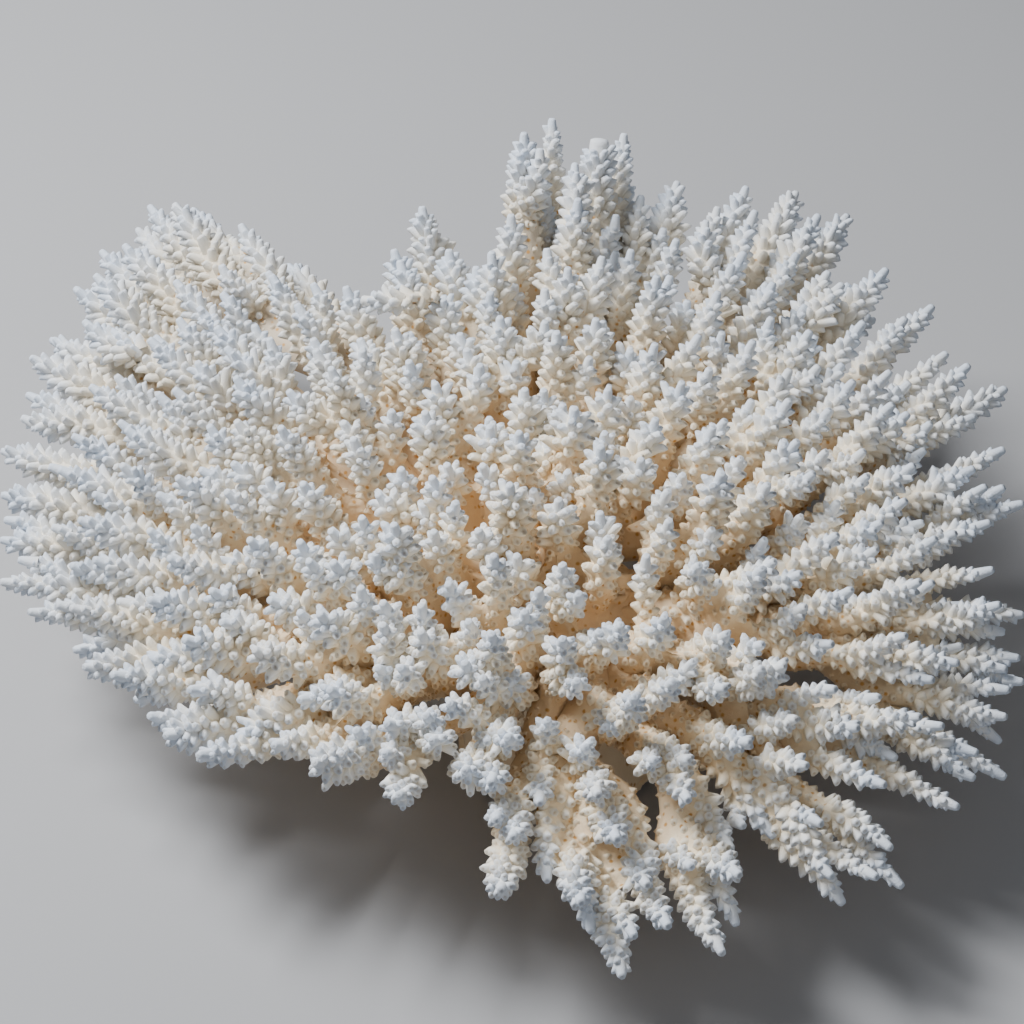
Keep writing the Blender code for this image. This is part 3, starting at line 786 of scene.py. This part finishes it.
def with_modifiers(name, mesh, *modifiers):
    """The mesh that these modifiers make of a mesh."""
    source = bpy.data.objects.new(name, mesh)
    bpy.context.scene.collection.objects.link(source)
    for kind, values in modifiers:
        modifier = source.modifiers.new(kind.lower(), kind)
        for key, value in values.items():
            setattr(modifier, key, value)
    graph = bpy.context.evaluated_depsgraph_get()
    made = bpy.data.meshes.new_from_object(source.evaluated_get(graph))
    bpy.data.objects.remove(source)
    bpy.data.meshes.remove(mesh)
    return made


def corners_of(mesh, values="co"):
    """The corners of a mesh, or their normals."""
    found = np.empty(len(mesh.vertices) * 3, np.float32)
    mesh.vertices.foreach_get(values, found)
    return found.reshape(-1, 3).astype(float)


def nearest_place(points, branches, web_share):
    """For each point, the place along these branches that its skin belongs to, as a number."""
    places = np.concatenate([b.line for b in branches]).astype(np.float32)
    radius = np.concatenate([b.radius + b.web * web_share for b in branches]).astype(np.float32)
    nearest = []
    for block in np.array_split(points.astype(np.float32), len(points) // BLOCK + 1):
        squares = (block**2).sum(1)[:, None] + (places**2).sum(1)[None] - 2 * block @ places.T
        nearest.append((np.sqrt(np.maximum(squares, 0)) - radius).argmin(axis=1))
    return np.concatenate(nearest)


def melted(name, points, faces, branches):
    """One smooth skin round shapes that overlap, drawn in to their cores, as corners and faces."""
    mesh = with_modifiers(
        name, mesh_of(name, points, faces),
        ("REMESH", {"mode": "VOXEL", "voxel_size": VOXEL}),
        ("SMOOTH", {"factor": SMOOTHING, "iterations": SMOOTHINGS[0]}),
    )
    points = corners_of(mesh)
    draw_in = np.concatenate([b.web for b in branches])[nearest_place(points, branches, 1)]
    points -= corners_of(mesh, "normal") * draw_in[:, None]
    mesh.vertices.foreach_set("co", points.astype(np.float32).ravel())
    mesh = with_modifiers(
        name, mesh,
        ("SMOOTH", {"factor": SMOOTHING, "iterations": SMOOTHINGS[1]}), ("DECIMATE", {"ratio": CORE_SHARE}),
    )
    mesh.calc_loop_triangles()
    points = corners_of(mesh)
    faces = np.empty(len(mesh.loop_triangles) * 3, np.int32)
    mesh.loop_triangles.foreach_get("vertices", faces)
    bpy.data.meshes.remove(mesh)
    return points, faces.reshape(-1, 3)


def cup_sites(branch):
    """A branch's cups: feet, directions, lengths, lip radii, ages, the branch's own way there, and slants."""
    below = np.linspace(CUP_FIRST, min(CUP_LAST * branch.pace, branch.below[0]), CUP_SAMPLES)
    girth = 2 * math.pi * (branch.there(branch.radius, below) + CUP_STAND)
    density = girth / along(CUP_SPACING, below / branch.pace) ** 2
    count = np.concatenate([[0], np.cumsum((density[1:] + density[:-1]) / 2 * np.diff(below))])
    chance = branch.chance
    order = np.arange(0.5, count[-1] - 0.5)
    below = np.interp(order + chance.uniform(-CUP_STRAY, CUP_STRAY, len(order)), count, below)
    turn = order * GOLDEN_ANGLE + chance.uniform(-CUP_TURN_STRAY, CUP_TURN_STRAY, len(order))
    ahead = unit(branch.there(branch.ahead, below))
    side = unit(branch.there(branch.side, below))
    across = np.cross(ahead, side)
    out = side * np.cos(turn)[:, None] + across * np.sin(turn)[:, None]
    grown = below / branch.pace
    reach = along(CUP_REACH, grown) * chance.uniform(*REACH_CHANCE, len(order)) * branch.stout
    long = chance.random(len(order)) < LONG_CUPS
    reach = np.where(long & (grown > LONG_PART[0]) & (grown < LONG_PART[1]), reach * LONG_CUP, reach)
    lean = np.radians(along(CUP_LEAN, grown)) * chance.uniform(*LEAN_CHANCE, len(order))
    way = out * np.sin(lean)[:, None] + ahead * np.cos(lean)[:, None]
    length = reach / np.sin(lean)
    foot = branch.there(branch.line, below) + out * (branch.there(branch.radius, below) - CUP_SUNK)[:, None]
    lip = along(CUP_RADIUS, grown) * chance.uniform(*RADIUS_CHANCE, len(order))
    slant = np.full(len(order), CUP_SLANT)
    age = branch.there(branch.age, below)
    if branch.blunt:
        keep = below > BLUNT_LENGTH
        return foot[keep], way[keep], length[keep], lip[keep], age[keep], ahead[keep], slant[keep]
    foot = np.concatenate([foot, branch.line[-1:] - branch.ahead[-1:] * TIP_CUP_BURIED])
    way = np.concatenate([way, branch.ahead[-1:]])
    length = np.concatenate([length, [TIP_CUP_LENGTH]])
    lip = np.concatenate([lip, [TIP_CUP_RADIUS]])
    age = np.concatenate([age, [0.0]])
    ahead = np.concatenate([ahead, branch.side[-1:]])
    return foot, way, length, lip, age, ahead, np.concatenate([slant, [0.0]])


def cups(foot, way, length, lip, ahead, slant):
    """Tubes with a slanting, rounded lip: corners, faces, which corners are inside, and how young each is."""
    count = len(foot)
    outer = -unit(ahead - way * (ahead * way).sum(axis=1, keepdims=True))
    across = np.cross(way, outer)
    angles = np.linspace(0, 2 * math.pi, CUP_SIDES, endpoint=False)
    round_ = circle(outer, across, angles)
    proud = (slant * lip)[:, None, None] * np.cos(angles)[None, :, None] * way[:, None]
    rings = []
    edge = length - lip * CUP_EDGE
    for at, radius, share in (
        (np.full(count, -CUP_BURIED), lip * CUP_FOOT, 0), (edge, lip, 1), (length, lip * CUP_MOUTH, 1),
    ):
        rings.append((foot + way * at[:, None])[:, None] + round_ * radius[:, None, None] + proud * share)
    pit = foot + way * edge[:, None]
    points = np.concatenate([*rings, pit[:, None]], axis=1)
    k = np.arange(CUP_SIDES)
    nxt = (k + 1) % CUP_SIDES
    faces = []
    for ring in range(2):
        a, b = ring * CUP_SIDES + k, ring * CUP_SIDES + nxt
        faces += [np.stack([a, b, b + CUP_SIDES], -1), np.stack([a, b + CUP_SIDES, a + CUP_SIDES], -1)]
    faces.append(np.stack([2 * CUP_SIDES + k, 2 * CUP_SIDES + nxt, np.full_like(k, 3 * CUP_SIDES)], -1))
    faces = np.concatenate(faces)
    all_faces = (np.arange(count) * CUP_CORNERS)[:, None, None] + faces[None]
    # Only the pit's middle corner is marked, for the painted shade inside the mouth.
    inside = np.tile(np.array([0.0] * (CUP_CORNERS - 1) + [1.0]), count)
    youth = np.tile(np.repeat(CUP_YOUTHS, (CUP_SIDES, CUP_SIDES, CUP_SIDES, 1)), count)
    return points.reshape(-1, 3), all_faces.reshape(-1, 3), inside, youth


def field_of(branches):
    """A tree of places along all branches, with the branch and the core radius of each."""
    tree = KDTree(sum(len(b.line) for b in branches))
    for i, place in enumerate(np.concatenate([b.line for b in branches])):
        tree.insert(place, i)
    tree.balance()
    owner = np.concatenate([np.full(len(b.line), i) for i, b in enumerate(branches)])
    return tree, owner, np.concatenate([b.radius for b in branches])


def free_cups(number, field, foot, way, length):
    """Which cups have their mouth clear of every other branch's core."""
    tree, owner, radius = field
    mouths = foot + way * length[:, None]
    keep = np.ones(len(foot), bool)
    for i, mouth in enumerate(mouths):
        for _, index, distance in tree.find_range(mouth, WIDEST_CORE):
            if owner[index] != number and distance < radius[index] + CUP_CLEAR:
                keep[i] = False
                break
    return keep


def stalk_shape():
    """The stalk's outline turned round, finer than its solid."""
    heights = np.linspace(0, STALK_OUTLINE[-1][0], STALK_RINGS)
    radii = along(STALK_OUTLINE, heights)
    angles = np.linspace(0, 2 * math.pi, STALK_SIDES, endpoint=False)
    swell = np.ones((STALK_RINGS, STALK_SIDES))
    for size, waves, turn, phase in STALK_SWELLINGS:
        swell += size * np.sin(waves * angles[None] + turn * heights[:, None] + phase)
    r = radii[:, None] * swell
    up = np.broadcast_to(heights[:, None], r.shape)
    points = np.stack([r * np.cos(angles), r * np.sin(angles), up], -1).reshape(-1, 3)
    points = np.concatenate([points, [(0, 0, 0), (0, 0, heights[-1] + STALK_CAP)]])
    return points, tube_faces(STALK_RINGS, STALK_SIDES)


def node_names(branchlets):
    """Which solid each branchlet belongs to, by its number, as the part names them."""
    names = {}
    counts = {}
    for piece in pieces(branchlets):
        if piece[0].parent is None and len(piece) < FEWEST_TIPS:
            name = "stalk"
        else:
            side = side_name(piece)
            counts[side] = counts.get(side, 0) + 1
            name = f"limb_{side}_{counts[side]}"
        for branchlet in piece:
            names[branchlet.number] = name
    return names


def set_values(mesh, name, values):
    """Gives a mesh a value at each corner, for the material to read."""
    layer = mesh.attributes.new(name, "FLOAT", "POINT")
    layer.data.foreach_set("value", np.asarray(values, np.float32))


def skeleton_material(name):
    """Dry coral: bluish white tips, cream stems, tan old wood, with pits and a fine grain. The tips' blue is
    painted cool light; the darker, greyer rim, the cups' mouths and the pits carry painted shade.
    """
    material = bpy.data.materials.new(name)
    material.use_nodes = True
    nodes, links = material.node_tree.nodes, material.node_tree.links
    surface = nodes["Principled BSDF"]
    surface.inputs["Specular IOR Level"].default_value = SPECULAR

    def node(kind, **values):
        made = nodes.new(kind)
        for key, value in values.items():
            setattr(made, key, value)
        return made

    def maths(operation, a, b, clamp=False):
        made = node("ShaderNodeMath", operation=operation, use_clamp=clamp)
        for socket, value in zip(made.inputs, (a, b)):
            if isinstance(value, (int, float)):
                socket.default_value = value
            else:
                links.new(value, socket)
        return made.outputs[0]

    def mix(factor, a, b, blend="MIX"):
        made = node("ShaderNodeMix", data_type="RGBA", blend_type=blend)
        for socket, value in ((made.inputs[0], factor), (made.inputs[6], a), (made.inputs[7], b)):
            if isinstance(value, tuple):
                socket.default_value = (*value, 1)
            elif isinstance(value, (int, float)):
                socket.default_value = value
            else:
                links.new(value, socket)
        return made.outputs[2]

    def ramp(value, stops):
        made = node("ShaderNodeValToRGB")
        while len(made.color_ramp.elements) < len(stops):
            made.color_ramp.elements.new(0.5)
        for element, (place, colour) in zip(made.color_ramp.elements, stops):
            element.position = place
            element.color = (*colour, 1)
        links.new(value, made.inputs[0])
        return made.outputs[0]

    def noise(scale, detail):
        made = node("ShaderNodeTexNoise")
        made.inputs["Scale"].default_value = scale
        made.inputs["Detail"].default_value = detail
        links.new(coords, made.inputs["Vector"])
        return made.outputs[0]

    def swing(value, share):
        """A noise's value, as so much more or less than nothing."""
        return maths("MULTIPLY", maths("SUBTRACT", value, 0.5), share)

    coords = node("ShaderNodeTexCoord").outputs["Object"]
    age, cup, tone = (
        node("ShaderNodeAttribute", attribute_name=values).outputs["Fac"] for values in ("age", "cup", "tone")
    )

    patch = noise(PATCH_SCALE, PATCH_DETAIL)
    fine = noise(FINE_SCALE, FINE_DETAIL)
    mottled = maths("ADD", age, swing(patch, PATCH_SHARE), clamp=True)
    radius = node("ShaderNodeVectorMath", operation="LENGTH")
    links.new(coords, radius.inputs[0])
    # Painted shade at the rim: the colours turn to the rim's darker, greyer table with the distance from the
    # cut face's middle.
    rim_shade = maths("SUBTRACT", radius.outputs["Value"], RIM_SHADE_START)
    rim_shade = maths("MULTIPLY", rim_shade, RIM_SHADE_PACE, clamp=True)
    colour = mix(rim_shade, ramp(mottled, MIDDLE_COLOURS), ramp(mottled, RIM_SHADED_COLOURS))
    colour = mix(maths("MULTIPLY", tone, TONE_SHARE), colour, TONE_COLOUR)
    # Painted shade in the middles of the cup mouths, with the brown of old cups in old wood.
    colour = mix(maths("MULTIPLY", cup, CUP_SHADE_SHARE), colour, ramp(mottled, CUP_SHADE_COLOURS))

    cells = node("ShaderNodeTexVoronoi")
    cells.inputs["Scale"].default_value = PIT_SCALE
    cells.inputs["Randomness"].default_value = PIT_RANDOMNESS
    links.new(coords, cells.inputs["Vector"])
    # Painted shade of the small pits in old wood, a dark brown spot in each cell.
    pit_shade = maths("SUBTRACT", PIT_DEPTH, maths("MULTIPLY", cells.outputs["Distance"], PIT_EDGE), clamp=True)
    old = maths("MULTIPLY", maths("SUBTRACT", age, PIT_AGE), PIT_AGE_PACE, clamp=True)
    colour = mix(maths("MULTIPLY", pit_shade, old), colour, PIT_SHADE_COLOUR)
    grain = maths("ADD", swing(fine, GRAIN_SHARE), 0.5)
    colour = mix(GRAIN_OVERLAY, colour, ramp(grain, GRAIN_GREYS), "OVERLAY")
    links.new(colour, surface.inputs["Base Color"])

    rough = maths("ADD", ROUGHNESS, swing(fine, ROUGHNESS_SHARE), clamp=True)
    links.new(rough, surface.inputs["Roughness"])
    bump = node("ShaderNodeBump")
    bump.inputs["Strength"].default_value = BUMP_STRENGTH
    bump.inputs["Distance"].default_value = BUMP_DISTANCE
    links.new(fine, bump.inputs["Height"])
    links.new(bump.outputs[0], surface.inputs["Normal"])
    return material


def build_coral():
    """One skin over each solid: the cores of its branches melted together, and the cups on them."""
    branchlets = grow()
    limb_radii(branchlets)
    mains = branches_of(branchlets, node_names(branchlets))
    branches = mains + twigs_of(branchlets, mains)
    field = field_of(branches)
    material = skeleton_material("dry_skeleton")
    for node in sorted(frame["nodes"]):
        numbers = [i for i, b in enumerate(branches) if b.node == node]
        own = [branches[i] for i in numbers]
        shapes = [core_tube(b) for b in own]
        if node == "stalk":
            shapes.append(stalk_shape())
        points, faces = melted(node, *joined(shapes), own)
        if node == "stalk":
            points[:, 2] = np.where(points[:, 2] < CUT_BAND, 0, points[:, 2])
        ages = np.concatenate([b.age for b in own])[nearest_place(points, own, 0)] + CORE_AGE
        if node == "stalk":
            ages = np.where(points[:, 2] < STALK_HEIGHT, STALK_AGE, ages)
        found = []
        for number, branch in zip(numbers, own):
            sites = cup_sites(branch)
            keep = free_cups(number, field, *sites[:3])
            found.append([values[keep] for values in sites])
        foot, way, length, lip, depth, ahead, slant = (np.concatenate(column) for column in zip(*found))
        cup_points, cup_faces, inside, youth = cups(foot, way, length, lip, ahead, slant)
        chance = np.random.default_rng(LOOKS_SEED + len(points))
        cup_ages = np.repeat(depth + CORE_AGE, CUP_CORNERS) - CUP_YOUTH * youth
        tones = np.repeat(chance.random(len(foot)), CUP_CORNERS)
        points, faces = joined([(points, faces), (cup_points, cup_faces)])
        mesh = mesh_of(f"{node}_skin", points, faces)
        mesh.shade_smooth()
        set_values(mesh, "age", np.clip(np.concatenate([ages, cup_ages]), 0, 1))
        set_values(mesh, "cup", np.concatenate([np.zeros(len(ages)), inside]))
        set_values(mesh, "tone", np.concatenate([np.full(len(ages), CORE_TONE), tones]))
        mesh.materials.append(material)
        piece = bpy.data.objects.new(f"{node}_skin", mesh)
        bpy.context.scene.collection.objects.link(piece)
        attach(piece, "root")
        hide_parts(node)


def build_stage():
    """A pale floor and soft light from above, left and behind."""
    bpy.ops.mesh.primitive_plane_add(size=FLOOR_SIZE)
    floor = bpy.context.object
    floor.name = "floor"
    material = bpy.data.materials.new("floor")
    material.use_nodes = True
    surface = material.node_tree.nodes["Principled BSDF"]
    surface.inputs["Base Color"].default_value = FLOOR_COLOUR
    surface.inputs["Roughness"].default_value = FLOOR_ROUGHNESS
    floor.data.materials.append(material)
    for name, place, size, power, colour in LIGHTS:
        data = bpy.data.lights.new(name, "AREA")
        data.size = size
        data.energy = power
        data.color = colour
        light = bpy.data.objects.new(name, data)
        light.location = place
        light.rotation_euler = (LIT_PLACE - Vector(place)).to_track_quat("-Z", "Y").to_euler()
        bpy.context.scene.collection.objects.link(light)
    world = bpy.data.worlds.new("world")
    world.use_nodes = True
    background = world.node_tree.nodes["Background"]
    background.inputs["Color"].default_value = WORLD_COLOUR
    background.inputs["Strength"].default_value = WORLD_STRENGTH
    bpy.context.scene.world = world


def build_camera():
    """The photograph's eye: above the front edge, looking down at the table."""
    data = bpy.data.cameras.new("camera")
    data.sensor_width = SENSOR_WIDTH
    data.lens = SENSOR_WIDTH * VIEW_DISTANCE / PHOTO_WIDTH
    camera = bpy.data.objects.new("camera", data)
    ahead = Vector((0, math.cos(VIEW_ELEVATION), -math.sin(VIEW_ELEVATION)))
    camera.location = AIM - ahead * VIEW_DISTANCE
    camera.rotation_euler = (math.radians(90) - VIEW_ELEVATION, 0, 0)
    bpy.context.scene.collection.objects.link(camera)
    bpy.context.scene.camera = camera


build_coral()
build_stage()
build_camera()
